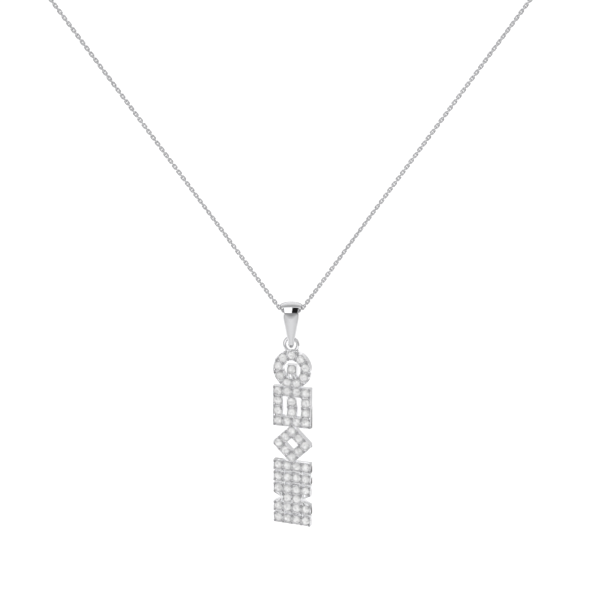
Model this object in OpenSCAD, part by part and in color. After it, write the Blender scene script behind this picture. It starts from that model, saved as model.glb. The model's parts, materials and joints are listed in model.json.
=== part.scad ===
// Nameplate necklace: a fine cable chain, a tapered bail and a pierced upright plate set with small stones.
// Millimetres, +Z up, +X to the right seen from the front, which faces -Y.
// The origin is at the nape, in the middle of the clasp.

/* [Chain] */
// Width of the cable chain over its links
chain_d = 0.64; // [0.5:0.02:0.8]
// Gap between an end of the chain and the clasp's eye
chain_end_gap = 0.15; // [0.1:0.05:0.3]

/* [Clasp] */
// Outer diameter of the clasp's ring
clasp_d = 5.6; // [4.5:0.1:6]
// Wire of the clasp's ring
clasp_wire = 1.1; // [0.8:0.1:1.4]
// Wire of the clasp's two eyes
eye_wire = 0.44; // [0.3:0.02:0.6]

/* [Bail] */
// Height of the bail over all
bail_h = 7.1; // [6:0.1:8]
// Width of the hood at the bail's top
hood_w = 3.4; // [3:0.1:4]
// Wall of the bail at its hood
bail_wall = 0.55; // [0.4:0.05:0.7]
// Thickness of the bail's foot, which carries the ring
bail_foot = 1.1; // [0.8:0.05:1.2]
// Gap between the chain and the inside of the hood
bail_gap = 0.18; // [0.15:0.01:0.4]

/* [Ring] */
// Outer diameter of the ring on top of the plate
ring_d = 2.72; // [2.6:0.02:2.9]
// Wire of the ring
ring_wire = 0.54; // [0.4:0.02:0.56]
// Gap between the ring's wire and its seat in the bail
ring_gap = 0.17; // [0.15:0.01:0.22]
// Gap between the bail's foot and the plate's top edge
foot_gap = 0.36; // [0.2:0.02:0.5]

/* [Plate] */
// Thickness of the plate
plate_t = 0.9; // [0.8:0.05:1.4]
// Rim of metal between a stone's cell and the edge of its bar
rim = 0.035; // [0.03:0.005:0.2]
// Width of the slits between the bars
slit_w = 0.3; // [0.2:0.05:0.5]
// Width of the bridges that join one bar to the next
bridge_w = 0.62; // [0.5:0.02:0.8]
// Overlap of the halo at the plate's top and the block under it
halo_lap = 0.28; // [0.2:0.02:0.34]
// Turn of the hanging plate about the vertical
plate_turn = 20; // [0:1:25]
// Distance from the ring to the plate's middle line, which lies to its right
plate_side = 0.22; // [0:0.02:0.3]

/* [Stones] */
// Diameter of a stone at its girdle
stone_d = 1.28; // [1.1:0.02:1.3]
// Space between the girdles of two neighbours
stone_space = 0.25; // [0.22:0.01:0.4]
// Gap between a stone and its seat
seat_gap = 0.05; // [0.04:0.005:0.06]
// Depth of a stone's girdle under the face of the plate
girdle_sink = 0.03; // [0.02:0.01:0.08]
// Diameter of the hole behind each stone
pilot_d = 0.7; // [0.5:0.05:0.8]
// Diameter of the shared beads at the corners of the stones
bead_d = 0.4; // [0.3:0.02:0.46]

/* [Hidden] */
slop = 0.01;
silver = [0.86, 0.86, 0.87];

// Right half of the chain, from its lowest point in the bail round the neck to the clasp.
CHAIN_ROUTE = [
    [0, -109, -92], [0.6, -109, -91.96], [1.1, -109, -91.84], [1.5, -109, -91.64], [1.85, -109, -91.3],
    [11.5, -109, -78], [23.1, -109, -62], [34.7, -109, -46], [42.6, -109, -35], [48, -108.5, -27.8],
    [52, -107, -23], [54.8, -104.2, -19.9], [56.8, -100, -17.9], [57.9, -95, -16.5], [58.4, -87, -15],
    [58.4, -79, -13.5], [58.4, -71, -12], [58, -62.5, -10.4], [56.8, -54, -8.8], [54.6, -45.6, -7.3],
    [51.2, -37.4, -5.8], [46.6, -29.4, -4.5], [40.8, -22.2, -3.3], [34, -15.6, -2.3], [26.3, -9.8, -1.4],
    [18.6, -5.2, -0.7], [11.6, -2, -0.2], [7, -0.5, 0]];
// Height over the pivot at which the chain leaves the bail's mouths.
mouth_rise = 0.5;
chain_sides = 8;

chain_r = chain_d / 2;
pivot = CHAIN_ROUTE[0];

eye_r = 0.7;
eye_x = clasp_d / 2 + eye_r - eye_wire / 4;
chain_end_x = eye_x + eye_r + eye_wire / 2 + chain_end_gap;
CHAIN_HALF = concat(CHAIN_ROUTE, [[chain_end_x, 0, 0]]);

// Form of the bail down one side: share of its height, of the hood's width and of the hood's wall.
BAIL_FORM = [
    [0.00, 0.87, 1.00], [0.01, 0.95, 1.00], [0.03, 1.00, 1.00], [0.06, 1.00, 0.90], [0.08, 0.68, 0.45],
    [0.12, 0.65, 0.42], [0.16, 0.64, 0.55], [0.19, 0.64, 0.78], [0.25, 0.66, 0.90], [0.36, 0.67, 1.05],
    [0.50, 0.61, 1.10], [0.60, 0.55, 1.08], [0.72, 0.48, 1.04], [0.82, 0.42, 1.00], [0.88, 0.36, 1.00],
    [0.91, 0.33, 1.05], [0.95, 0.30, 1.20]];
foot_w = 0.30;

hood_r = mouth_rise + chain_r + bail_gap;
seat_r = ring_wire / 2 + ring_gap;
foot_drop = bail_h - hood_r - bail_wall - seat_r - bail_foot;
bail_slope = asin((hood_r - seat_r) / foot_drop);
hinge = pivot - [0, 0, foot_drop];
hood_steps = 12;
side_steps = 9;
foot_steps = 6;
bail_sides = 16;

ring_r = (ring_d - ring_wire) / 2;
plate_top = -seat_r - bail_foot - foot_gap;
pitch = stone_d + stone_space;
bar = pitch + 2 * rim;
plate_w = 4 * pitch + 2 * rim;

// Shares of the pitch: a row of the block, the lozenge's half width and half height over its stones,
// the step from its ends to the next bars, and the depth of the waist's notches.
block_share = 1.045;
lozenge_w_share = 1.44;
lozenge_h_share = 1.38;
lozenge_step_share = 0.98;
notch_share = 1.05;

// Rows of the plate, measured down from its top edge to the middle of each bar.
halo_stones = 9;
halo_r = pitch / (2 * sin(180 / halo_stones)) + bar / 2;
block_row = block_share * pitch;
block_top = 2 * halo_r + bar / 2 - halo_lap;
BLOCK = [for (i = [0:3]) block_top + i * block_row];
lozenge_x = lozenge_w_share * pitch;
lozenge_v = lozenge_h_share * pitch;
lozenge_reach = lozenge_x * lozenge_v / norm([lozenge_x, lozenge_v]);
lozenge_mid = BLOCK[3] + lozenge_step_share * pitch + lozenge_v;
bar_row = bar + slit_w;
bars_top = lozenge_mid + lozenge_v + lozenge_step_share * pitch;
BARS = [for (i = [0:2]) bars_top + i * bar_row];
waist = BARS[2] + pitch;
ENDS = [for (i = [0:1]) waist + pitch + i * bar_row];
notch_x = notch_share * pitch;

COLUMNS = [-1.5, -0.5, 0.5, 1.5] * pitch;
slot_x = COLUMNS[3] / 2;
slot_w = COLUMNS[3] - bar;
HALO = [for (i = [0:halo_stones - 1]) on_halo(i, 0)];
LOZENGE = [for (i = [0:7]) [lozenge_x * diamond(i), lozenge_mid + lozenge_v * diamond(i + 2)]];
STONES = concat(
    HALO,
    [[0, halo_r]],
    row(BLOCK[0], COLUMNS),
    row(BLOCK[1], [COLUMNS[0], 0, COLUMNS[3]]),
    row(BLOCK[2], [COLUMNS[0], 0, COLUMNS[3]]),
    row(BLOCK[3], COLUMNS),
    LOZENGE,
    [for (v = BARS) each row(v, COLUMNS)],
    row(waist, [COLUMNS[1], COLUMNS[2]]),
    [for (v = ENDS) each row(v, COLUMNS)]);

bead_in = bead_d / 2 + rim / 2;
bead_v = bar / 2 - bead_in;
bead_x = plate_w / 2 - bead_in;
BEAD_COLUMNS = [-bead_x, -pitch, 0, pitch, bead_x];
block_bead_x = [bead_x, bead_x - 2 * bead_v];
BEADS = concat(
    [for (i = [0:halo_stones - 1], s = [-1, 1]) on_halo(i + 0.5, s * bead_v)],
    [for (v = [BLOCK[0], BLOCK[3]], s = [-1, 1]) each row(v + s * bead_v, BEAD_COLUMNS)],
    row((BLOCK[1] + BLOCK[2]) / 2, concat([-bead_v, bead_v], block_bead_x, -block_bead_x)),
    [for (i = [0:7]) each lozenge_beads(i)],
    [for (v = concat(BARS, ENDS), s = [-1, 1]) each row(v + s * bead_v, BEAD_COLUMNS)],
    row(waist, [0]));

// Cut of a stone, its heights and its table as shares of its diameter.
crown_h = 0.15 * stone_d;
girdle_h = 0.04 * stone_d;
pavilion_h = 0.43 * stone_d;
table_r = 0.29 * stone_d;
table_sides = 8;
girdle_sides = 2 * table_sides;

// A point of the halo by its place among the stones, from the top round to the right, and its distance
// outwards from their middle line.
function on_halo(i, out) =
    let (turn = i * 360 / halo_stones)
    [0, halo_r] + (halo_r - bar / 2 + out) * [sin(turn), -cos(turn)];
// A wave of period 8 between -1 and 1 with straight sides: it walks the points of a lozenge.
function diamond(i) = 1 - abs(((i + 8) % 8) - 4) / 2;
// Points at one height v for each x in a list.
function row(v, xs) = [for (x = xs) [x, v]];
// Two beads, inside and outside, between stone i of the lozenge and the next.
function lozenge_beads(i) =
    let (a = LOZENGE[i], b = LOZENGE[(i + 1) % 8], m = (a + b) / 2, d = unit(b - a), n = [d[1], -d[0]])
    [m + bead_v * n, m - bead_v * n];
function unit(v) = v / norm(v);
function mirrored(points) =
    [for (i = [len(points) - 1:-1:1]) [-points[i][0], points[i][1], points[i][2]]];
function tangent(points, i) = unit(points[min(i + 1, len(points) - 1)] - points[max(i - 1, 0)]);
// One ring of a tube's points round the point p, square to the direction t.
function tube_ring(p, t, r, sides) =
    let (u = unit(cross(t, [0, -1, 1])), v = cross(t, u))
    [for (j = [0:sides - 1]) p + r * (cos(j * 360 / sides) * u + sin(j * 360 / sides) * v)];

// A station of the bail, 0 at its top: [inner point, outward normal], as [y, z] about the pivot.
function bail_normal(turn) = [-sin(turn), cos(turn)];
function bail_station(i) =
    i <= hood_steps ?
        let (n = bail_normal(i / hood_steps * (90 + bail_slope))) [hood_r * n, n]
    : i < hood_steps + side_steps ?
        let (n = bail_normal(90 + bail_slope), s = (i - hood_steps) / side_steps)
        [(1 - s) * hood_r * n + s * ([0, -foot_drop] + seat_r * n), n]
    :
        let (s = (i - hood_steps - side_steps) / foot_steps,
            n = bail_normal(90 + bail_slope + s * (90 - bail_slope)))
        [[0, -foot_drop] + seat_r * n, n];
// Share of the bail's inner height at a station, and the width and wall that the form gives it there.
function bail_share(i) = (hood_r - bail_station(i)[0][1]) / (hood_r + foot_drop + seat_r);
function bail_width(i) =
    let (widths = [for (f = BAIL_FORM) [f[0], f[1]]])
    hood_w * lookup(bail_share(i), concat(widths, [[1, foot_w]]));
function bail_thick(i) =
    let (walls = [for (f = BAIL_FORM) [f[0], f[2]]])
    bail_wall * lookup(bail_share(i), concat(walls, [[1, bail_foot / bail_wall]]));
// Points of the ellipse round one station, at the front with side 1 and at the back with side -1.
function bail_ring(i, side) =
    let (q = bail_station(i)[0], n = bail_station(i)[1], t = bail_thick(i), w = bail_width(i))
    let (c = q + n * t / 2)
    [for (j = [0:bail_sides - 1])
        let (a = j * 360 / bail_sides, o = c + n * t / 2 * cos(a))
        [w / 2 * sin(a), side * o[0], o[1]]];

module tube(points, r, sides) {
    count = len(points);
    rings = [for (i = [0:count - 1]) each tube_ring(points[i], tangent(points, i), r, sides)];
    walls = [for (i = [0:count - 2], j = [0:sides - 1])
        [i * sides + j, (i + 1) * sides + j,
            (i + 1) * sides + (j + 1) % sides, i * sides + (j + 1) % sides]];
    start = [for (j = [0:sides - 1]) j];
    end = [for (j = [sides - 1:-1:0]) (count - 1) * sides + j];
    polyhedron(concat(rings), concat([start, end], walls), convexity = 10);
}

module torus(r, wire) {
    rotate_extrude($fn = 64)
        translate([r, 0])
            circle(d = wire, $fn = 32);
}

module chain() {
    color(silver)
        tube(concat(mirrored(CHAIN_HALF), CHAIN_HALF), chain_r, chain_sides);
}

module clasp() {
    color(silver)
        rotate([90, 0, 0]) {
            torus((clasp_d - clasp_wire) / 2, clasp_wire);
            for (side = [-1, 1])
                translate([side * eye_x, 0, 0])
                    torus(eye_r, eye_wire);
        }
}

module bail() {
    last = hood_steps + side_steps + foot_steps;
    count = 2 * last;
    rings = concat(
        [for (i = [0:last - 1]) each bail_ring(i, 1)],
        [for (i = [last:-1:1]) each bail_ring(i, -1)]);
    walls = [for (i = [0:count - 1], j = [0:bail_sides - 1])
        let (k = (i + 1) % count, m = (j + 1) % bail_sides)
        [i * bail_sides + j, i * bail_sides + m, k * bail_sides + m, k * bail_sides + j]];
    color(silver)
        translate(pivot)
            polyhedron(rings, walls, convexity = 6);
}

module place_plate() {
    translate(hinge)
        rotate([0, 0, -plate_turn])
            children();
}

// The front of the plate: x across, y up from the plate's top edge.
module plate_outline() {
    difference() {
        union() {
            translate([0, -halo_r])
                circle(r = halo_r, $fn = 96);
            bar_field(BLOCK[0], BLOCK[3]);
            intersection() {
                lozenge(1 + bar / 2 / lozenge_reach);
                translate([-plate_w / 2, -lozenge_mid - plate_w])
                    square([plate_w, 2 * plate_w]);
            }
            bar_field(BARS[0], ENDS[1]);
        }
        difference() {
            translate([0, -halo_r])
                circle(r = halo_r - bar, $fn = 64);
            translate([-bar / 2, -halo_r - bar])
                square([bar, 1.5 * bar]);
        }
        for (side = [-1, 1])
            translate([side * slot_x - slot_w / 2, -BLOCK[3] + bar / 2])
                square([slot_w, 3 * block_row - bar]);
        lozenge(1 - bar / 2 / lozenge_reach);
        for (v = [(BARS[0] + BARS[1]) / 2, (BARS[1] + BARS[2]) / 2, (ENDS[0] + ENDS[1]) / 2])
            slit(v);
        for (side = [-1, 1])
            polygon([
                [side * (plate_w / 2 + slop), -BARS[2] - bar / 2],
                [side * notch_x, -waist],
                [side * (plate_w / 2 + slop), -ENDS[0] + bar / 2]]);
    }
}

module lozenge(share) {
    translate([0, -lozenge_mid])
        polygon(share * [[lozenge_x, 0], [0, lozenge_v], [-lozenge_x, 0], [0, -lozenge_v]]);
}

module bar_field(from, to) {
    translate([-plate_w / 2, -to - bar / 2])
        square([plate_w, to - from + bar]);
}

// One slit between two bars, crossed by two bridges.
module slit(v) {
    inner = pitch - bridge_w / 2;
    outer = pitch + bridge_w / 2;
    translate([-inner, -v - slit_w / 2])
        square([2 * inner, slit_w]);
    for (side = [0, 1])
        mirror([side, 0])
            translate([outer, -v - slit_w / 2])
                square([plate_w / 2 - outer + slop, slit_w]);
}

module at_face(p) {
    translate([plate_side + p[0], -plate_t / 2, plate_top - p[1]])
        rotate([90, 0, 0])
            children();
}

module seat() {
    top_r = stone_d / 2 + seat_gap;
    slope = pavilion_h / (stone_d / 2);
    lip = girdle_sink + girdle_h + seat_gap / 2;
    rotate_extrude($fn = 48)
        polygon([
            [0, 2 * bead_d], [top_r, 2 * bead_d], [top_r, -lip],
            [pilot_d / 2, -lip - (top_r - pilot_d / 2) * slope],
            [pilot_d / 2, -plate_t - slop], [0, -plate_t - slop]]);
}

module nameplate() {
    color(silver)
        place_plate()
            difference() {
                union() {
                    translate([plate_side, plate_t / 2, plate_top])
                        rotate([90, 0, 0])
                            linear_extrude(plate_t)
                                plate_outline();
                    translate([0, 0, -ring_r])
                        rotate([90, 0, 0])
                            torus(ring_r, ring_wire);
                    for (p = BEADS)
                        at_face(p)
                            sphere(d = bead_d, $fn = 24);
                }
                for (p = STONES)
                    at_face(p)
                        seat();
            }
}

// Points of a level ring, from a turn measured in shares of one step.
function level_ring(r, sides, start, z) =
    [for (j = [0:sides - 1]) let (turn = (j + start) * 360 / sides) [r * cos(turn), r * sin(turn), z]];

// A round cut stone: an eight-sided table, a faceted crown, a thin girdle and a pointed pavilion.
module stone() {
    n = girdle_sides;
    m = table_sides;
    points = concat(
        level_ring(stone_d / 2, n, 0, 0),
        level_ring(stone_d / 2, n, 0, -girdle_h),
        level_ring(table_r, m, 0.5, crown_h),
        [[0, 0, -girdle_h - pavilion_h]]);
    girdle = [for (j = [0:n - 1]) [(j + 1) % n, n + (j + 1) % n, n + j, j]];
    pavilion = [for (j = [0:n - 1]) [n + (j + 1) % n, 2 * n + m, n + j]];
    star_right = [for (j = [0:m - 1]) [2 * j + 1, 2 * j, 2 * n + j]];
    star_left = [for (j = [0:m - 1]) [(2 * j + 2) % n, 2 * j + 1, 2 * n + j]];
    kite = [for (j = [0:m - 1]) [2 * n + j, 2 * j, 2 * n + (j + m - 1) % m]];
    top = [for (j = [0:m - 1]) 2 * n + j];
    polyhedron(points, concat(girdle, pavilion, star_right, star_left, kite, [top]));
}

module stones() {
    color("white")
        place_plate()
            for (p = STONES)
                at_face(p)
                    translate([0, 0, -girdle_sink])
                        stone();
}

chain();
clasp();
bail();
nameplate();
stones();
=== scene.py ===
"""Looks of a fine cable chain necklace with a tapered bail and an upright plate set with round stones."""

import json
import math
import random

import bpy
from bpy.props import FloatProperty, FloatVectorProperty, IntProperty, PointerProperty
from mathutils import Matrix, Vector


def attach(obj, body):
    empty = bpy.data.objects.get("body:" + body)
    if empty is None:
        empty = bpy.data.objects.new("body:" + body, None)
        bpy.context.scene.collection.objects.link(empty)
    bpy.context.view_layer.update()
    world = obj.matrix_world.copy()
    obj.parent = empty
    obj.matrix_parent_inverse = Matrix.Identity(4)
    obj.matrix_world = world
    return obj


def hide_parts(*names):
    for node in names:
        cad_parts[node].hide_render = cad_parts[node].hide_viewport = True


bl_info = {
    "name": "Plate Necklace",
    "version": (1, 0, 0),
    "blender": (4, 5, 0),
    "location": "View3D > Sidebar > Necklace",
    "description": "Models and lights a cable chain necklace with a tapered bail and a stone-set plate",
    "category": "Add Mesh",
}

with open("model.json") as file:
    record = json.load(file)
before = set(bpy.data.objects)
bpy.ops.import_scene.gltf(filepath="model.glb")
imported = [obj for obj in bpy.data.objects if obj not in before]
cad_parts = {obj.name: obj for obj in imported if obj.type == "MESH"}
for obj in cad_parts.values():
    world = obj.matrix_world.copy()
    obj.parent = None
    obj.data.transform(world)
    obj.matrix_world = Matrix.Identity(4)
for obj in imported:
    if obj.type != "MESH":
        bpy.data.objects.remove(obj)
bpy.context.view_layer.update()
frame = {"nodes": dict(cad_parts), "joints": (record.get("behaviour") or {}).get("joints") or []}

MM = 0.001
UP = Vector((0, 0, 1))
ORIGIN = (0, 0, 0)
# Values between which a noise texture mostly stays
NOISE_SPAN = (0.3, 0.7)
# Segments round an oval link and round its wire
LINK_SIDES, WIRE_SIDES = 16, 6
# Lengths over which the hanging chain sways in its twist, a slow and a quick one
SLOW_SWAY, QUICK_SWAY = 5.3 * MM, 2.9 * MM

# Right half of the chain in millimetres, from its lowest point in the bail round the neck to the clasp.
ROUTE = [
    (0, -109, -92), (0.6, -109, -91.96), (1.1, -109, -91.84), (1.5, -109, -91.64), (1.85, -109, -91.3),
    (11.5, -109, -78), (23.1, -109, -62), (34.7, -109, -46), (42.6, -109, -35), (48, -108.5, -27.8),
    (52, -107, -23), (54.8, -104.2, -19.9), (56.8, -100, -17.9), (57.9, -95, -16.5), (58.4, -87, -15),
    (58.4, -79, -13.5), (58.4, -71, -12), (58, -62.5, -10.4), (56.8, -54, -8.8), (54.6, -45.6, -7.3),
    (51.2, -37.4, -5.8), (46.6, -29.4, -4.5), (40.8, -22.2, -3.3), (34, -15.6, -2.3), (26.3, -9.8, -1.4),
    (18.6, -5.2, -0.7), (11.6, -2, -0.2), (7, -0.5, 0), (4.46, 0, 0),
]

# Form of the bail down one side, from its top. Each row is a share of its height, and there the width as a
# share of the hood's, the wall as a share of the hood's, and how much of the wall bulges inwards. The hood
# ends in a crisp lip, a hollow neck under it leads out to a crisp edge, and the long face is a soft swell.
BAIL_FORM = [
    (0.0, 0.87, 1.0, 0.18), (0.0105, 0.95, 1.0, 0.18), (0.0235, 0.99, 1.0, 0.18),
    (0.034, 1.0, 1.0, 0.18), (0.0389, 1.0, 1.0, 0.18), (0.0397, 1.0, 0.987, 0.18),
    (0.0474, 0.998, 0.866, 0.2), (0.0564, 0.99, 0.708, 0.25), (0.0572, 0.98, 0.694, 0.25),
    (0.0578, 0.82, 0.5, 0.35), (0.0585, 0.66, 0.33, 0.5), (0.06, 0.658, 0.325, 0.5),
    (0.089, 0.645, 0.303, 0.5), (0.114, 0.63, 0.346, 0.5), (0.139, 0.615, 0.436, 0.53),
    (0.1625, 0.605, 0.569, 0.58), (0.1765, 0.603, 0.676, 0.62), (0.178, 0.605, 0.688, 0.62),
    (0.1795, 0.61, 0.689, 0.62), (0.19, 0.625, 0.698, 0.61), (0.209, 0.645, 0.728, 0.59),
    (0.236, 0.655, 0.778, 0.54), (0.264, 0.662, 0.824, 0.485), (0.32, 0.668, 0.903, 0.385),
    (0.375, 0.66, 0.961, 0.31), (0.463, 0.63, 1.012, 0.25), (0.573, 0.56, 1.02, 0.2),
    (0.72, 0.48, 0.977, 0.18), (0.83, 0.41, 0.95, 0.18), (0.88, 0.365, 0.95, 0.18),
    (0.91, 0.34, 0.95, 0.18), (0.93, 0.325, 0.95, 0.18), (0.95, 0.315, 0.982, 0.18),
    (0.965, 0.31, 1.11, 0.18), (0.98, 0.305, 1.44, 0.18), (0.99, 0.3, 1.75, 0.18),
    (1.0, 0.3, 2.2, 0.18),
]
WIDTH, WALL, BULGE = 1, 2, 3


def srgb(code):
    """Linear red, green, blue and alpha of a colour given as an sRGB hex value."""
    parts = [int(code[i : i + 2], 16) / 255 for i in (1, 3, 5)]
    linear = [p / 12.92 if p <= 0.04045 else ((p + 0.055) / 1.055) ** 2.4 for p in parts]
    return (*linear, 1.0)


class ChainSettings(bpy.types.PropertyGroup):
    link_length: FloatProperty(
        name="Link length", description="Outer length of one oval link",
        default=0.98 * MM, min=0.5 * MM, unit="LENGTH", precision=5)
    link_width: FloatProperty(
        name="Link width", description="Outer width of one oval link",
        default=0.68 * MM, min=0.3 * MM, unit="LENGTH", precision=5)
    wire: FloatProperty(
        name="Wire", description="Thickness of the links' wire",
        default=0.22 * MM, min=0.05 * MM, unit="LENGTH", precision=5)
    pitch: FloatProperty(
        name="Pitch", description="Distance from one link to the next along the chain",
        default=0.52 * MM, min=0.2 * MM, unit="LENGTH", precision=5)
    twist: FloatProperty(
        name="Twist", description="How far the hanging chain twists to and fro",
        default=math.radians(11), min=0, max=math.pi / 4, subtype="ANGLE")
    colour: FloatVectorProperty(
        name="Colour", description="Reflected colour of the rhodium-plated wire",
        default=srgb("#E9E9EB"), size=4, min=0, max=1, subtype="COLOR")


class ClaspSettings(bpy.types.PropertyGroup):
    ring_radius: FloatProperty(
        name="Ring radius", description="Radius of a jump ring, to the middle of its wire",
        default=0.55 * MM, min=0.3 * MM, unit="LENGTH", precision=5)
    ring_reach: FloatProperty(
        name="Ring reach", description="Distance from the middle of the clasp to the middle of a jump ring",
        default=4.3 * MM, min=2 * MM, unit="LENGTH", precision=5)


class BailSettings(bpy.types.PropertyGroup):
    hood_radius: FloatProperty(
        name="Hood radius", description="Inner radius of the hood over the chain",
        default=1.0 * MM, min=0.5 * MM, unit="LENGTH", precision=5)
    seat_radius: FloatProperty(
        name="Seat radius", description="Inner radius of the foot, which carries the plate's ring",
        default=0.44 * MM, min=0.2 * MM, unit="LENGTH", precision=5)
    width: FloatProperty(
        name="Width", description="Width of the hood",
        default=3.4 * MM, min=2 * MM, unit="LENGTH", precision=5)
    wall: FloatProperty(
        name="Wall", description="Thickness of the hood",
        default=0.55 * MM, min=0.2 * MM, unit="LENGTH", precision=5)
    colour: FloatVectorProperty(
        name="Colour", description="Reflected colour of the polished rhodium plating",
        default=srgb("#DEDEE0"), size=4, min=0, max=1, subtype="COLOR")


class StoneSettings(bpy.types.PropertyGroup):
    diameter: FloatProperty(
        name="Diameter", description="Diameter of a stone at its girdle",
        default=1.28 * MM, min=0.8 * MM, unit="LENGTH", precision=5)
    table: FloatProperty(
        name="Table", description="Width of the flat table as a share of the diameter",
        default=0.57, min=0.4, max=0.7, subtype="FACTOR")
    crown: FloatProperty(
        name="Crown", description="Height of the crown as a share of the diameter",
        default=0.15, min=0.1, max=0.2, subtype="FACTOR")
    pavilion: FloatProperty(
        name="Pavilion", description="Depth of the pavilion as a share of the diameter",
        default=0.43, min=0.4, max=0.45, subtype="FACTOR")
    # Painted reflection: the flakes below are painted into the stones' colour
    flake: FloatProperty(
        name="Flake", description="Width of a lighter or greyer flake of the facets seen through a stone",
        default=0.28 * MM, min=0.05 * MM, unit="LENGTH", precision=5)
    greyest: FloatProperty(
        name="Greyest flake", description="Tone of the greyest flake as a share of the lightest one's",
        default=0.62, min=0, max=1, subtype="FACTOR")
    clearness: FloatProperty(
        name="Clearness", description="Share of the light that goes straight through a stone",
        default=0.12, min=0, max=1, subtype="FACTOR")
    colour: FloatVectorProperty(
        name="Colour", description="Body colour of the clear stones",
        default=srgb("#FFFFFF"), size=4, min=0, max=1, subtype="COLOR")


class PlateSettings(bpy.types.PropertyGroup):
    grain: FloatProperty(
        name="Grain", description="Distance between the marks that the graver left",
        default=0.3 * MM, min=0.05 * MM, unit="LENGTH", precision=5)
    depth: FloatProperty(
        name="Depth", description="Depth of the graver's marks",
        default=0.006 * MM, min=0, unit="LENGTH", precision=5)
    colour: FloatVectorProperty(
        name="Colour", description="Reflected colour of the freshly cut and plated metal",
        default=srgb("#FAFAFC"), size=4, min=0, max=1, subtype="COLOR")
    turn: FloatProperty(
        name="Turn", description="Turn of the plate about the vertical, which tells where its face looks",
        default=math.radians(20), min=0, max=math.radians(25), subtype="ANGLE")
    thickness: FloatProperty(
        name="Thickness", description="Thickness of the plate without its beads",
        default=0.9 * MM, min=0.5 * MM, unit="LENGTH", precision=5)
    # Painted shade: how bright the beads are painted, as a share of the plate's metal
    painted_bead_shade: FloatProperty(
        name="Bead tone", description="Brightness of the beads' metal as a share of the plate's",
        default=0.68, min=0, max=1, subtype="FACTOR")


class StageSettings(bpy.types.PropertyGroup):
    distance: FloatProperty(
        name="Camera distance", description="Distance of the camera in front of the plate",
        default=124.5 * MM, min=50 * MM, unit="LENGTH", precision=5)
    rise: FloatProperty(
        name="Camera rise", description="Height of the camera over the bail's pivot",
        default=23.31 * MM, unit="LENGTH", precision=5)
    side: FloatProperty(
        name="Camera side step", description="Distance of the camera to the right of the middle",
        default=1.35 * MM, unit="LENGTH", precision=5)
    pitch: FloatProperty(
        name="Camera pitch", description="Angle at which the camera looks down",
        default=math.radians(9.8), subtype="ANGLE")
    floor: FloatProperty(
        name="Floor height", description="Height of the pale floor",
        default=-225 * MM, max=-150 * MM, unit="LENGTH", precision=5)
    paleness: FloatVectorProperty(
        name="Paleness", description="Colour of the floor and the backdrop",
        default=srgb("#F4F4F4"), size=4, min=0, max=1, subtype="COLOR")
    glow: FloatProperty(
        name="Glow", description="Own light of the floor and the backdrop",
        default=0.12, min=0, max=1)
    front_tone: FloatProperty(
        name="Front tone", description="Brightness of the dark wall behind the camera",
        default=0.29, min=0, max=1)
    flank_tone: FloatProperty(
        name="Flank tone", description="Share of the front wall's and the ground's tone left at their sides",
        default=0.68, min=0, max=1)
    side_tone: FloatProperty(
        name="Side tone", description="Brightness of the walls on both sides",
        default=0.62, min=0, max=1)
    back_tone: FloatProperty(
        name="Back tone", description="Brightness of the wall behind the necklace",
        default=0.75, min=0, max=1)
    low_tone: FloatProperty(
        name="Low tone", description="Brightness of the card below the necklace",
        default=0.2, min=0, max=1)
    top_tone: FloatProperty(
        name="Top tone", description="Brightness of the card straight above the necklace",
        default=0.62, min=0, max=1)
    light_tone: FloatProperty(
        name="Light card", description="Brightness of the card low in front on the left",
        default=1.3, min=0, max=2)
    bright_tone: FloatProperty(
        name="Bright card", description="Brightness of the bright card in front",
        default=1.5, min=1, max=5)
    sides: IntProperty(
        name="Sweep steps", description="Number of flat steps in the sweep from floor to backdrop",
        default=24, min=4, max=64)


def deselect():
    """Nothing is selected or active afterwards, so the next operator acts on its own piece alone."""
    if bpy.context.object and bpy.context.object.mode != "OBJECT":
        bpy.ops.object.mode_set(mode="OBJECT")
    bpy.ops.object.select_all(action="DESELECT")
    bpy.context.view_layer.objects.active = None


def choose(*pieces):
    """Selects some objects alone and makes the first one active."""
    deselect()
    for piece in pieces:
        piece.select_set(True)
    bpy.context.view_layer.objects.active = pieces[0]


def edit(piece):
    """Opens one object alone in edit mode."""
    choose(piece)
    bpy.ops.object.mode_set(mode="EDIT")


def settle(piece):
    """Ends the modelling of a piece: its place goes into its mesh and its faces point outwards."""
    edit(piece)
    bpy.ops.mesh.select_all(action="SELECT")
    bpy.ops.mesh.normals_make_consistent(inside=False)
    bpy.ops.object.mode_set(mode="OBJECT")
    bpy.ops.object.transform_apply(location=True, rotation=True, scale=True)
    return piece


def pick(piece, chosen):
    """Selects in edit mode the vertices that a test accepts, and nothing else."""
    bpy.ops.mesh.select_mode(type="VERT")
    bpy.ops.mesh.select_all(action="DESELECT")
    bpy.ops.object.mode_set(mode="OBJECT")
    for vertex in piece.data.vertices:
        vertex.select = bool(chosen(vertex))
    bpy.ops.object.mode_set(mode="EDIT")


def finish_piece(piece, name, body, slot, material, *stands_for):
    """Names a finished piece, gives it its one material and sets it on its body."""
    piece.name = piece.data.name = name
    piece.data.materials.clear()
    piece.data.materials.append(material)
    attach(piece, body)
    if stands_for:
        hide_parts(*stands_for)


def add_node(tree, kind, settings=None, **inputs):
    """Adds a shader node. Settings are its own fields, inputs are values or the sockets that feed them."""
    node = tree.nodes.new(kind)
    for field, value in (settings or {}).items():
        setattr(node, field, value)
    for label, value in inputs.items():
        socket = node.inputs[label.replace("_", " ")]
        if isinstance(value, bpy.types.NodeSocket):
            tree.links.new(value, socket)
        else:
            socket.default_value = value
    return node


def blank_material(name):
    """A new material with an output and no other node, and its node tree."""
    material = bpy.data.materials.new(name)
    material.use_nodes = True
    tree = material.node_tree
    tree.nodes.clear()
    return material, tree, tree.nodes.new("ShaderNodeOutputMaterial")


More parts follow.
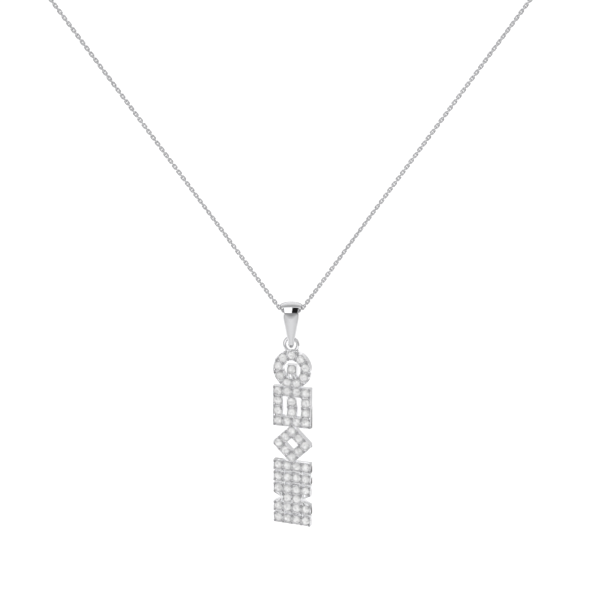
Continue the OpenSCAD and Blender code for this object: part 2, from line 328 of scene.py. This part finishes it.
def rhodium_metal(name, colour, roughness, grain, depth, wander):
    """White gold plated with rhodium: a hard, bright, greyish mirror. The grain is the distance between marks
    of the last working and the depth is how deep they are, both in metres. The wander is how much the gloss
    varies, over patches eight grains wide."""
    material, tree, output = blank_material(name)
    place = add_node(tree, "ShaderNodeTexCoord").outputs["Object"]
    marks = add_node(tree, "ShaderNodeTexNoise", Vector=place, Scale=1 / grain, Detail=3.0, Roughness=0.6)
    clouds = add_node(tree, "ShaderNodeTexNoise", Vector=place, Scale=1 / (8 * grain), Detail=2.0)
    gloss = add_node(
        tree, "ShaderNodeMapRange", Value=clouds.outputs["Fac"], From_Min=NOISE_SPAN[0],
        From_Max=NOISE_SPAN[1], To_Min=roughness - wander, To_Max=roughness + wander)
    bump = add_node(
        tree, "ShaderNodeBump", Strength=0.5, Distance=depth, Height=marks.outputs["Fac"])
    shader = add_node(
        tree, "ShaderNodeBsdfPrincipled", Base_Color=colour, Metallic=1.0,
        Roughness=gloss.outputs["Result"], Normal=bump.outputs["Normal"])
    tree.links.new(shader.outputs["BSDF"], output.inputs["Surface"])
    return material


def paint_bead_shade(material, sizes, pivot):
    """The beads stand out of the plate's face. Painted shade: they are painted greyer than the metal round
    them, which was cut bright, standing in for the shade and dark reflections at the beads. Their height over
    the plate's face tells them apart."""
    low, high = 0.03 * MM, 0.08 * MM
    tree = material.node_tree
    shader = next(node for node in tree.nodes if node.type == "BSDF_PRINCIPLED")
    front = Vector((-math.sin(sizes.turn), -math.cos(sizes.turn), 0))
    face = pivot.dot(front) + sizes.thickness / 2
    place = add_node(tree, "ShaderNodeTexCoord").outputs["Object"]
    height = add_node(tree, "ShaderNodeVectorMath", {"operation": "DOT_PRODUCT"}, Vector=place)
    height.inputs[1].default_value = front
    # Painted shade: the metal's colour darkens from just above the plate's face up to the beads' height
    tone = add_node(
        tree, "ShaderNodeMapRange", Value=height.outputs["Value"],
        From_Min=face + low, From_Max=face + high, To_Min=1.0, To_Max=sizes.painted_bead_shade)
    metal = add_node(tree, "ShaderNodeHueSaturation", Value=tone.outputs["Result"], Color=sizes.colour)
    tree.links.new(metal.outputs["Color"], shader.inputs["Base Color"])


def clear_stone(name, sizes):
    """Clear stone of high index, cut and polished. The light that the facets of its back give back broken up
    is painted into its colour as painted reflection, a mosaic of lighter and greyer flakes, and it lets
    hardly any light through. The wheel leaves the polish a little uneven."""
    swirl = 0.3 * MM
    material, tree, output = blank_material(name)
    place = add_node(tree, "ShaderNodeTexCoord").outputs["Object"]
    # Painted reflection: lighter and greyer flakes in the stone's colour
    flakes = add_node(tree, "ShaderNodeTexVoronoi", Vector=place, Scale=1 / sizes.flake)
    tone = add_node(tree, "ShaderNodeSeparateColor", Color=flakes.outputs["Color"])
    light = add_node(
        tree, "ShaderNodeMapRange", Value=tone.outputs["Red"], To_Min=sizes.greyest, To_Max=1.0)
    body = add_node(tree, "ShaderNodeHueSaturation", Value=light.outputs["Result"], Color=sizes.colour)
    polish = add_node(tree, "ShaderNodeTexNoise", Vector=place, Scale=1 / swirl, Detail=2.0)
    gloss = add_node(
        tree, "ShaderNodeMapRange", Value=polish.outputs["Fac"], From_Min=NOISE_SPAN[0],
        From_Max=NOISE_SPAN[1], To_Min=0.0, To_Max=0.02)
    shader = add_node(
        tree, "ShaderNodeBsdfPrincipled", Base_Color=body.outputs["Color"], IOR=2.18,
        Transmission_Weight=sizes.clearness, Roughness=gloss.outputs["Result"])
    tree.links.new(shader.outputs["BSDF"], output.inputs["Surface"])
    return material


def matt_board(name, colour, glow):
    """Matt painted board of the stage, with a faint even glow as on a light table."""
    material, tree, output = blank_material(name)
    shader = add_node(
        tree, "ShaderNodeBsdfPrincipled", Base_Color=colour, Roughness=0.9,
        Emission_Color=colour, Emission_Strength=glow)
    tree.links.new(shader.outputs["BSDF"], output.inputs["Surface"])
    return material


def add_oval_link(sizes, place):
    """One oval link in the plane of X and Z, its length along X: a ring whose two halves are drawn apart."""
    bpy.ops.mesh.primitive_torus_add(
        location=place, rotation=(math.pi / 2, 0, 0),
        major_segments=LINK_SIDES, minor_segments=WIRE_SIDES,
        major_radius=(sizes.link_width - sizes.wire) / 2, minor_radius=sizes.wire / 2)
    link = bpy.context.object
    bpy.ops.object.transform_apply(location=False, rotation=True, scale=False)
    edit(link)
    bpy.ops.mesh.select_all(action="SELECT")
    bpy.ops.transform.rotate(value=math.pi / LINK_SIDES, orient_axis="Y", center_override=place)
    apart = (sizes.link_length - sizes.link_width) / 2
    for side in (-1, 1):
        pick(link, lambda v, side=side: v.co.x * side > 0)
        bpy.ops.transform.translate(value=(side * apart, 0, 0))
    bpy.ops.object.mode_set(mode="OBJECT")
    bpy.ops.object.transform_apply(location=True, rotation=True, scale=True)
    return link


def lay_route(twist):
    """The chain's route as one smooth curve through its chosen points, with a slow twist to and fro."""
    right = [Vector(point) * MM for point in ROUTE]
    left = [Vector((-p.x, p.y, p.z)) for p in reversed(right[1:])]
    points = left + right
    deselect()
    bpy.ops.curve.primitive_bezier_curve_add()
    route = bpy.context.object
    route.data.twist_mode = "Z_UP"
    knots = route.data.splines[0].bezier_points
    knots.add(len(points) - len(knots))
    for knot, point in zip(knots, points):
        knot.co = point
        knot.handle_left_type = knot.handle_right_type = "AUTO"
    bpy.ops.object.mode_set(mode="EDIT")
    bpy.ops.curve.select_all(action="SELECT")
    bpy.ops.curve.subdivide(number_cuts=5)
    bpy.ops.object.mode_set(mode="OBJECT")
    knots = route.data.splines[0].bezier_points
    walked = 0.0
    for before, knot in zip(knots, knots[1:]):
        walked += (knot.co - before.co).length
        wave = math.sin(walked / SLOW_SWAY) + 0.6 * math.sin(walked / QUICK_SWAY + 1)
        knot.tilt = twist * wave
    return route


class NECKLACE_OT_chain(bpy.types.Operator):
    """Model the cable chain: two oval links repeated along the route, each a quarter turn from the last"""

    bl_idname = "necklace.chain"
    bl_label = "Cable chain"

    def execute(self, context):
        sizes = context.scene.necklace_chain
        clasp = context.scene.necklace_clasp
        route = lay_route(sizes.twist)
        length = route.data.splines[0].calc_length()
        first_centre = clasp.ring_reach + clasp.ring_radius - sizes.wire + sizes.link_length / 2
        start = first_centre - ROUTE[-1][0] * MM
        pairs = round((length - 2 * start) / (2 * sizes.pitch))
        pitch = (length - 2 * start) / (2 * pairs)

        deselect()
        pair = add_oval_link(sizes, (start, 0, 0))
        last = add_oval_link(sizes, (start, 0, 0))
        last.name = "last_link"
        edit(pair)
        bpy.ops.mesh.select_all(action="SELECT")
        bpy.ops.mesh.duplicate()
        bpy.ops.transform.rotate(value=math.pi / 2, orient_axis="X", center_override=ORIGIN)
        bpy.ops.transform.translate(value=(pitch, 0, 0))
        bpy.ops.object.mode_set(mode="OBJECT")

        array = pair.modifiers.new("along", "ARRAY")
        array.count = pairs
        array.use_relative_offset = False
        array.use_constant_offset = True
        array.constant_offset_displace = (2 * pitch, 0, 0)
        array.end_cap = last
        follow = pair.modifiers.new("follow", "CURVE")
        follow.object = route
        choose(pair)
        bpy.ops.object.modifier_apply(modifier="along")
        bpy.ops.object.modifier_apply(modifier="follow")
        settle(pair)
        bpy.ops.object.shade_smooth()
        bpy.data.objects.remove(last)
        bpy.data.objects.remove(route)
        wire = rhodium_metal(
            "drawn_rhodium_wire", sizes.colour,
            roughness=0.16, grain=0.12 * MM, depth=0.002 * MM, wander=0.05)
        finish_piece(pair, "cable_chain", "root", "chain_metal", wire, "chain")
        return {"FINISHED"}


def smooth_copy(name, angle):
    """A copy of a plain CAD piece with its triangles joined. Edges flatter than the angle, in degrees, shade
    as round."""
    choose(frame["nodes"][name])
    bpy.ops.object.duplicate()
    copy = bpy.context.object
    edit(copy)
    bpy.ops.mesh.select_all(action="SELECT")
    bpy.ops.mesh.remove_doubles(threshold=0.0005 * MM)
    settle(copy)
    bpy.ops.object.shade_smooth_by_angle(angle=math.radians(angle))
    return copy


class NECKLACE_OT_clasp(bpy.types.Operator):
    """Finish the clasp and model the two jump rings that join it to the chain's last links"""

    bl_idname = "necklace.clasp"
    bl_label = "Clasp and jump rings"

    def execute(self, context):
        sizes = context.scene.necklace_clasp
        wire = context.scene.necklace_chain.wire
        deselect()
        rings = []
        for side in (-1, 1):
            bpy.ops.mesh.primitive_torus_add(
                location=(side * sizes.ring_reach, 0, 0), major_segments=32, minor_segments=10,
                major_radius=sizes.ring_radius, minor_radius=wire / 2)
            rings.append(bpy.context.object)
        choose(*rings)
        bpy.ops.object.join()
        pair = settle(rings[0])
        bpy.ops.object.shade_smooth()
        colour = context.scene.necklace_bail.colour
        polish = rhodium_metal(
            "turned_rhodium", colour, roughness=0.1, grain=0.2 * MM, depth=0.002 * MM, wander=0.03)
        finish_piece(pair, "jump_rings", "root", "chain_metal", polish)
        clasp = smooth_copy("clasp", angle=40)
        finish_piece(clasp, "ring_clasp", "root", "polished_metal", polish, "clasp")
        return {"FINISHED"}


def joint_place(name):
    """Where a joint of the frame is, in metres."""
    return next(Vector(joint["pos_m"]) for joint in frame["joints"] if joint["name"] == name)


def from_table(table, share, column):
    """The value of one column of a table at a place between its rows, led smoothly and without overshoot."""
    knots = [(row[0], row[column]) for row in table]
    slopes = [(y1 - y0) / (x1 - x0) for (x0, y0), (x1, y1) in zip(knots, knots[1:])]
    bends = [0.0]
    for before, after in zip(slopes, slopes[1:]):
        bends.append(2 * before * after / (before + after) if before * after > 0 else 0.0)
    bends.append(slopes[-1])
    i = next((i for i, knot in enumerate(knots[1:]) if share <= knot[0]), len(slopes) - 1)
    (x0, y0), (x1, y1) = knots[i], knots[i + 1]
    step = x1 - x0
    t = min(max((share - x0) / step, 0.0), 1.0)
    rise = t * t * (3 - 2 * t)
    lead = t * (1 - t) * step
    return y0 + (y1 - y0) * rise + lead * ((1 - t) * bends[i] - t * bends[i + 1])


def bail_stations(sizes, drop):
    """Stations down the front of the bail's inner side, each as the share of its height, its place forwards
    and up from the pivot, and the turn of its outward side from straight up. The inner side is an arc over
    the chain, a straight flank and an arc under the ring."""
    hood_steps, flank_steps, foot_steps = 20, 24, 12
    closest = 0.0006
    slope = math.asin((sizes.hood_radius - sizes.seat_radius) / drop)
    turned = math.pi / 2 + slope
    height = sizes.hood_radius + drop + sizes.seat_radius
    hood_end = (1 - math.cos(turned)) * sizes.hood_radius / height
    foot_start = 1 - (1 + math.cos(turned)) * sizes.seat_radius / height
    shares = [row[0] for row in BAIL_FORM]
    for i in range(hood_steps + 1):
        shares.append((1 - math.cos(turned * i / hood_steps)) * sizes.hood_radius / height)
    for i in range(1, flank_steps):
        shares.append(hood_end * (1 - i / flank_steps) + foot_start * i / flank_steps)
    for i in range(foot_steps + 1):
        turn = turned + (math.pi - turned) * i / foot_steps
        shares.append(1 - (1 + math.cos(turn)) * sizes.seat_radius / height)
    stations = []
    for share in sorted(shares):
        if stations and share - stations[-1][0] < closest:
            continue
        up = sizes.hood_radius - share * height
        if up >= sizes.hood_radius * math.cos(turned):
            turn = math.acos(min(1.0, up / sizes.hood_radius))
            forward = sizes.hood_radius * math.sin(turn)
        elif share <= foot_start:
            turn = turned
            mix = (share - hood_end) / (foot_start - hood_end)
            forward = math.sin(turned) * (sizes.hood_radius * (1 - mix) + sizes.seat_radius * mix)
        else:
            turn = math.acos(max(-1.0, (up + drop) / sizes.seat_radius))
            forward = sizes.seat_radius * math.sin(turn)
        stations.append((share, forward, up, turn))
    return stations


class NECKLACE_OT_bail(bpy.types.Operator):
    """Model the bail: rounded sections set round its loop from hood to foot and back, and bridged"""

    bl_idname = "necklace.bail"
    bl_label = "Tapered bail"

    section_sides = 40

    def add_section(self, sizes, pivot, station, side):
        """A section of the wall: a circle whose outer and inner halves are each pressed to their own share
        of the wall, then turned and moved into place."""
        share, forward, up, turn = station
        width = sizes.width * from_table(BAIL_FORM, share, WIDTH)
        wall = sizes.wall * from_table(BAIL_FORM, share, WALL)
        inner = wall * from_table(BAIL_FORM, share, BULGE)
        outer = wall - inner
        bpy.ops.mesh.primitive_circle_add(
            vertices=self.section_sides, radius=width / 2, rotation=(math.pi / 2, 0, 0))
        section = bpy.context.object
        bpy.ops.object.transform_apply(location=False, rotation=True, scale=False)
        edit(section)
        pick(section, lambda v: v.co.z > 0)
        bpy.ops.transform.resize(value=(1, 1, 2 * outer / width), center_override=ORIGIN)
        pick(section, lambda v: v.co.z < 0)
        bpy.ops.transform.resize(value=(1, 1, 2 * inner / width), center_override=ORIGIN)
        bpy.ops.mesh.select_all(action="SELECT")
        bpy.ops.transform.translate(value=(0, 0, inner))
        bpy.ops.object.mode_set(mode="OBJECT")
        section.rotation_euler = (side * turn, 0, 0)
        section.location = pivot + Vector((0, -side * forward, up))
        choose(section)
        bpy.ops.object.transform_apply(location=True, rotation=True, scale=True)
        return section

    def execute(self, context):
        sizes = context.scene.necklace_bail
        pivot = joint_place("bail_swing")
        drop = pivot.z - joint_place("plate_swing").z
        stations = bail_stations(sizes, drop)
        loop = [(s, 1) for s in stations] + [(s, -1) for s in reversed(stations[1:-1])]
        sections = [self.add_section(sizes, pivot, *place) for place in loop]
        choose(*sections)
        bpy.ops.object.join()
        bail = sections[0]
        edit(bail)
        bpy.ops.mesh.select_mode(type="VERT")
        count = self.section_sides
        for i in range(len(loop)):
            rows = (i, (i + 1) % len(loop))
            pick(bail, lambda v, rows=rows: v.index // count in rows)
            bpy.ops.mesh.select_mode(type="EDGE")
            bpy.ops.mesh.bridge_edge_loops()
        settle(bail)
        bpy.ops.object.shade_smooth()
        polish = rhodium_metal(
            "mirror_rhodium", sizes.colour,
            roughness=0.05, grain=0.35 * MM, depth=0.001 * MM, wander=0.02)
        finish_piece(bail, "tapered_bail", "bail", "polished_metal", polish, "bail")
        return {"FINISHED"}


class NECKLACE_OT_nameplate(bpy.types.Operator):
    """Give the pierced plate, its ring and its beads their bright-cut metal, with painted shade on the beads
    """

    bl_idname = "necklace.nameplate"
    bl_label = "Pierced plate"

    def execute(self, context):
        sizes = context.scene.necklace_plate
        cut = rhodium_metal(
            "bright_cut_rhodium_bead_shade", sizes.colour,
            roughness=0.18, grain=sizes.grain, depth=sizes.depth, wander=0.05)
        # Painted shade on the beads: greyer where they stand out of the plate's face
        paint_bead_shade(cut, sizes, joint_place("plate_swing"))
        plate = smooth_copy("nameplate", angle=28)
        finish_piece(plate, "pierced_plate", "nameplate", "plate_metal", cut, "nameplate")
        return {"FINISHED"}


def loose_parts(node):
    """The places of the loose parts of a CAD node: a list of lists of points."""
    choose(node)
    bpy.ops.object.duplicate()
    copy = bpy.context.object
    edit(copy)
    bpy.ops.mesh.select_all(action="SELECT")
    bpy.ops.mesh.remove_doubles(threshold=0.001 * MM)
    bpy.ops.mesh.separate(type="LOOSE")
    bpy.ops.object.mode_set(mode="OBJECT")
    parts = list(bpy.context.selected_objects)
    places = [[v.co.copy() for v in part.data.vertices] for part in parts]
    for part in parts:
        bpy.data.objects.remove(part)
    return places


def brilliant(sizes):
    """A round brilliant: rings of points for the table, the star tips, the girdle, the pavilion and the
    culet, and the hull round them. Its measures are shares of the diameter."""
    wide = sizes.diameter
    turn = math.pi / 8
    half_step = math.cos(turn)
    table_r, star_r, lower_r, culet_r = sizes.table / 2, 0.4, 0.13, 0.004
    girdle = 0.04
    star_up = sizes.crown * (0.5 - star_r * half_step) / (0.5 - table_r)
    lower_up = -sizes.pavilion * (1 - 2 * lower_r * half_step)
    rings = [
        (8, table_r, sizes.crown, turn), (8, star_r, star_up, 0), (16, 0.5, 0, 0),
        (16, 0.5, -girdle, 0), (8, lower_r, lower_up - girdle, 0),
        (3, culet_r, -(sizes.pavilion + girdle), 0),
    ]
    deselect()
    parts = []
    for count, radius, up, start in rings:
        bpy.ops.mesh.primitive_circle_add(
            vertices=count, radius=radius * wide, location=(0, 0, up * wide), rotation=(0, 0, start))
        bpy.ops.object.transform_apply(location=True, rotation=True, scale=True)
        parts.append(bpy.context.object)
    choose(*parts)
    bpy.ops.object.join()
    edit(parts[0])
    bpy.ops.mesh.select_all(action="SELECT")
    bpy.ops.mesh.convex_hull()
    bpy.ops.object.mode_set(mode="OBJECT")
    return parts[0]


class NECKLACE_OT_stones(bpy.types.Operator):
    """Cut one round brilliant and set a copy of it in each seat, each turned a little differently"""

    bl_idname = "necklace.stones"
    bl_label = "Round stones"

    seed = 7
    most_lean = 1.5

    def execute(self, context):
        """Finds each stone's axis in the CAD's points: the culet is the point that stands most alone."""
        sizes = context.scene.necklace_stones
        cut = brilliant(sizes)
        dice = random.Random(self.seed)
        copies = []
        for points in loose_parts(frame["nodes"]["stones"]):
            middle = sum(points, Vector()) / len(points)
            culet = max(points, key=lambda p: min((p - q).length for q in points if q is not p))
            axis = (middle - culet).normalized()
            table = max((p - culet).dot(axis) for p in points)
            girdle = culet + axis * (table - sizes.crown * sizes.diameter)
            spin = Matrix.Rotation(dice.uniform(0, math.tau), 4, "Z")
            lean = Matrix.Rotation(math.radians(dice.uniform(0, self.most_lean)), 4, "X")
            turn = UP.rotation_difference(axis).to_matrix().to_4x4()
            stone = cut.copy()
            stone.data = cut.data.copy()
            context.collection.objects.link(stone)
            stone.matrix_world = Matrix.Translation(girdle) @ turn @ lean @ spin
            copies.append(stone)
        bpy.data.objects.remove(cut)
        choose(*copies)
        bpy.ops.object.transform_apply(location=True, rotation=True, scale=True)
        bpy.ops.object.join()
        field = settle(copies[0])
        bpy.ops.object.shade_flat()
        clear = clear_stone("clear_brilliant", sizes)
        finish_piece(field, "brilliants", "nameplate", "stone", clear, "stones")
        return {"FINISHED"}


def panel_material(name, tone, *fades):
    """Lit studio panel, which gives the metal a tone to mirror. Each fade is an axis, the two places on it
    between which the tone changes, and the share of the tone at both. Along X it is alike on both sides."""
    material, tree, output = blank_material(name)
    panel = add_node(tree, "ShaderNodeEmission", Strength=tone)
    spot = add_node(tree, "ShaderNodeTexCoord").outputs["Object"]
    parts = add_node(tree, "ShaderNodeSeparateXYZ", Vector=spot)
    for socket, (axis, places, shares) in zip(("Color", "Strength"), fades):
        full = tone if socket == "Strength" else 1.0
        along = parts.outputs[axis]
        if axis == "X":
            size = add_node(tree, "ShaderNodeMath", {"operation": "ABSOLUTE"}, Value=along)
            along = size.outputs["Value"]
        fade = add_node(
            tree, "ShaderNodeMapRange", Value=along,
            From_Min=places[0], From_Max=places[1], To_Min=shares[0] * full, To_Max=shares[1] * full)
        tree.links.new(fade.outputs["Result"], panel.inputs[socket])
    tree.links.new(panel.outputs["Emission"], output.inputs["Surface"])
    return material


def add_panel(name, material, wide, deep, tall):
    """A flat panel that fills two of its three spans, seen in the mirror of polished faces alone."""
    deselect()
    place = [sum(span) / 2 for span in (wide, deep, tall)]
    spans = [span[1] - span[0] for span in (wide, deep, tall)]
    if not spans[2]:
        turn, scale = (0, 0, 0), (spans[0], spans[1], 1)
    elif not spans[1]:
        turn, scale = (math.pi / 2, 0, 0), (spans[0], spans[2], 1)
    else:
        turn, scale = (math.pi / 2, 0, math.pi / 2), (spans[1], spans[2], 1)
    bpy.ops.mesh.primitive_plane_add(size=1, location=place, rotation=turn)
    panel = bpy.context.object
    panel.name = name
    panel.scale = scale
    bpy.ops.object.transform_apply(location=True, rotation=True, scale=True)
    panel.visible_camera = panel.visible_diffuse = False
    panel.visible_transmission = panel.visible_shadow = False
    panel.data.materials.append(material)


def add_softbox(name, size, place, aim, brightness):
    """A soft lamp that lights matt surfaces and isn't seen in any mirror."""
    data = bpy.data.lights.new(name, "AREA")
    data.shape = "RECTANGLE"
    data.size, data.size_y = size
    data.energy = brightness * math.pi * size[0] * size[1]
    lamp = bpy.data.objects.new(name, data)
    bpy.context.scene.collection.objects.link(lamp)
    lamp.location = place
    lamp.rotation_euler = (Vector(aim) - Vector(place)).to_track_quat("-Z", "Y").to_euler()
    lamp.visible_camera = lamp.visible_glossy = lamp.visible_transmission = False


class NECKLACE_OT_stage(bpy.types.Operator):
    """Make the pale floor with its sweep, the soft light, the panels that metal mirrors, and the camera"""

    bl_idname = "necklace.stage"
    bl_label = "Stage"

    # Width and depth of the floor, height of the backdrop and length of the bend between them, in metres
    floor_width, floor_depth, backdrop, bend = 3, 2, 1.2, 0.3
    # Places of the panels from the bail's pivot, in metres
    front_reach, back_reach, side_reach, far_reach = 0.45, 0.3, 0.2, 0.6
    horizon, cards_foot, cards_top, split = 0.02, 0.45, 0.85, 0.012
    layer = 0.001

    def sweep(self, stage):
        """The floor and backdrop: a plane whose far edge is drawn up and rounded."""
        deselect()
        bpy.ops.mesh.primitive_plane_add(size=1, location=(0, -0.5, stage.floor))
        floor = bpy.context.object
        floor.scale = (self.floor_width, self.floor_depth, 1)
        bpy.ops.object.transform_apply(location=True, rotation=True, scale=True)
        edit(floor)
        pick(floor, lambda v: v.co.y > 0)
        bpy.ops.mesh.extrude_region_move(TRANSFORM_OT_translate={"value": (0, 0, self.backdrop)})
        pick(floor, lambda v: v.co.y > 0 and v.co.z < stage.floor + 0.01)
        bpy.ops.mesh.select_mode(type="EDGE")
        bpy.ops.mesh.bevel(offset=self.bend, offset_type="OFFSET", segments=stage.sides)
        bpy.ops.object.mode_set(mode="OBJECT")
        bpy.ops.object.shade_smooth()
        floor.name = "pale_sweep"
        floor.data.materials.append(matt_board("pale_board", stage.paleness, stage.glow))

    def panels(self, stage, pivot):
        """Walls of several tones round the necklace, a bright and a black card high in front, a light card
        low in front on the left, and a grey card on the ground below it."""
        x, y, z = pivot
        front, back = y - self.front_reach, y + self.back_reach
        inner = (x - self.side_reach, x + self.side_reach)
        outer = (x - self.far_reach, x + self.far_reach)
        horizon, split = z + self.horizon, x + self.split
        sides = ("X", (0.04, 0.3), (1.0, stage.flank_tone))

        low = panel_material(
            "dark_wall", 1.0, ("Z", (z - 0.125, z - 0.045), (0.96, stage.front_tone)), sides)
        add_panel("front_wall", low, outer, (front, front), (z - 0.22, horizon))
        high = panel_material(
            "upper_wall", 1.0, ("Z", (horizon, z + 0.18), (stage.front_tone, stage.side_tone)))
        add_panel("upper_front_wall", high, outer, (front, front), (horizon, z + self.cards_foot))

        near, tall = (front + 0.01, front + 0.01), (z + self.cards_foot, z + self.cards_top)
        light = panel_material("light_panel", stage.light_tone)
        add_panel("light_card", light, (outer[0], x - 0.3), near, (stage.floor, horizon))
        bright = panel_material("bright_panel", stage.bright_tone)
        add_panel("bright_card", bright, (outer[0], split), near, tall)
        black = panel_material("black_panel", 0.015)
        add_panel("black_card", black, (split, outer[1]), near, tall)
        top = panel_material("top_panel", 1.0, ("Y", (y - 0.1, y + 0.3), (stage.top_tone, 0.97)))
        add_panel("top_card", top, outer, (front, y + self.far_reach), (tall[1], tall[1]))

        grey = panel_material(
            "grey_panel", 1.0, ("Z", (z - 0.095, z - 0.07), (1.15, stage.side_tone)),
            ("Y", (y - 0.12, y), (0.58, 1.0)))
        for name, side in (("left_wall", inner[0]), ("right_wall", inner[1])):
            add_panel(name, grey, (side, side), (y - 0.17, back), (stage.floor, z + 0.2))
        rear = panel_material("rear_panel", 1.0, ("Z", (z - 0.06, z - 0.02), (1.0, stage.back_tone)))
        add_panel("back_wall", rear, outer, (back, back), (stage.floor, z + 0.16))

        first, second = stage.floor + self.layer, stage.floor + 2 * self.layer
        ground = panel_material("ground_panel", 0.96, sides)
        add_panel("ground_card", ground, outer, (front, back), (first, first))
        under = panel_material("low_panel", stage.low_tone)
        add_panel("low_card", under, (x - 0.09, x + 0.09), (y - 0.07, back), (second, second))

    def execute(self, context):
        stage = context.scene.necklace_stage
        pivot = joint_place("bail_swing")
        self.sweep(stage)
        self.panels(stage, pivot)
        add_softbox("overhead", (0.6, 0.6), pivot + Vector((-0.1, -0.1, 0.7)), pivot, 0.4)

        world = bpy.data.worlds.new("white_room")
        context.scene.world = world
        world.use_nodes = True
        world.node_tree.nodes["Background"].inputs["Color"].default_value = (1, 1, 1, 1)

        eye = bpy.data.cameras.new("camera")
        eye.lens = 50
        eye.sensor_width = 36
        camera = bpy.data.objects.new("camera", eye)
        context.scene.collection.objects.link(camera)
        camera.location = pivot + Vector((stage.side, -stage.distance, stage.rise))
        camera.rotation_euler = (math.pi / 2 - stage.pitch, 0, 0)
        context.scene.camera = camera
        context.scene.view_settings.view_transform = "Standard"
        return {"FINISHED"}


STEPS = (
    NECKLACE_OT_stage,
    NECKLACE_OT_chain,
    NECKLACE_OT_clasp,
    NECKLACE_OT_bail,
    NECKLACE_OT_nameplate,
    NECKLACE_OT_stones,
)
SETTINGS = {
    "necklace_chain": ChainSettings,
    "necklace_clasp": ClaspSettings,
    "necklace_bail": BailSettings,
    "necklace_plate": PlateSettings,
    "necklace_stones": StoneSettings,
    "necklace_stage": StageSettings,
}


class NECKLACE_PT_sidebar(bpy.types.Panel):
    bl_label = "Necklace"
    bl_idname = "NECKLACE_PT_sidebar"
    bl_space_type = "VIEW_3D"
    bl_region_type = "UI"
    bl_category = "Necklace"

    def draw(self, context):
        for name, group in SETTINGS.items():
            box = self.layout.box()
            box.label(text=group.__name__.replace("Settings", ""))
            for field in group.__annotations__:
                box.prop(getattr(context.scene, name), field)
        for step in STEPS:
            self.layout.operator(step.bl_idname)


def register():
    for group in SETTINGS.values():
        bpy.utils.register_class(group)
    for step in STEPS:
        bpy.utils.register_class(step)
    bpy.utils.register_class(NECKLACE_PT_sidebar)
    for name, group in SETTINGS.items():
        setattr(bpy.types.Scene, name, PointerProperty(type=group))


def unregister():
    for name in SETTINGS:
        delattr(bpy.types.Scene, name)
    bpy.utils.unregister_class(NECKLACE_PT_sidebar)
    for step in reversed(STEPS):
        bpy.utils.unregister_class(step)
    for group in reversed(SETTINGS.values()):
        bpy.utils.unregister_class(group)


def main():
    register()
    bpy.ops.necklace.stage()
    bpy.ops.necklace.chain()
    bpy.ops.necklace.clasp()
    bpy.ops.necklace.bail()
    bpy.ops.necklace.nameplate()
    bpy.ops.necklace.stones()


if __name__ == "__main__":
    main()
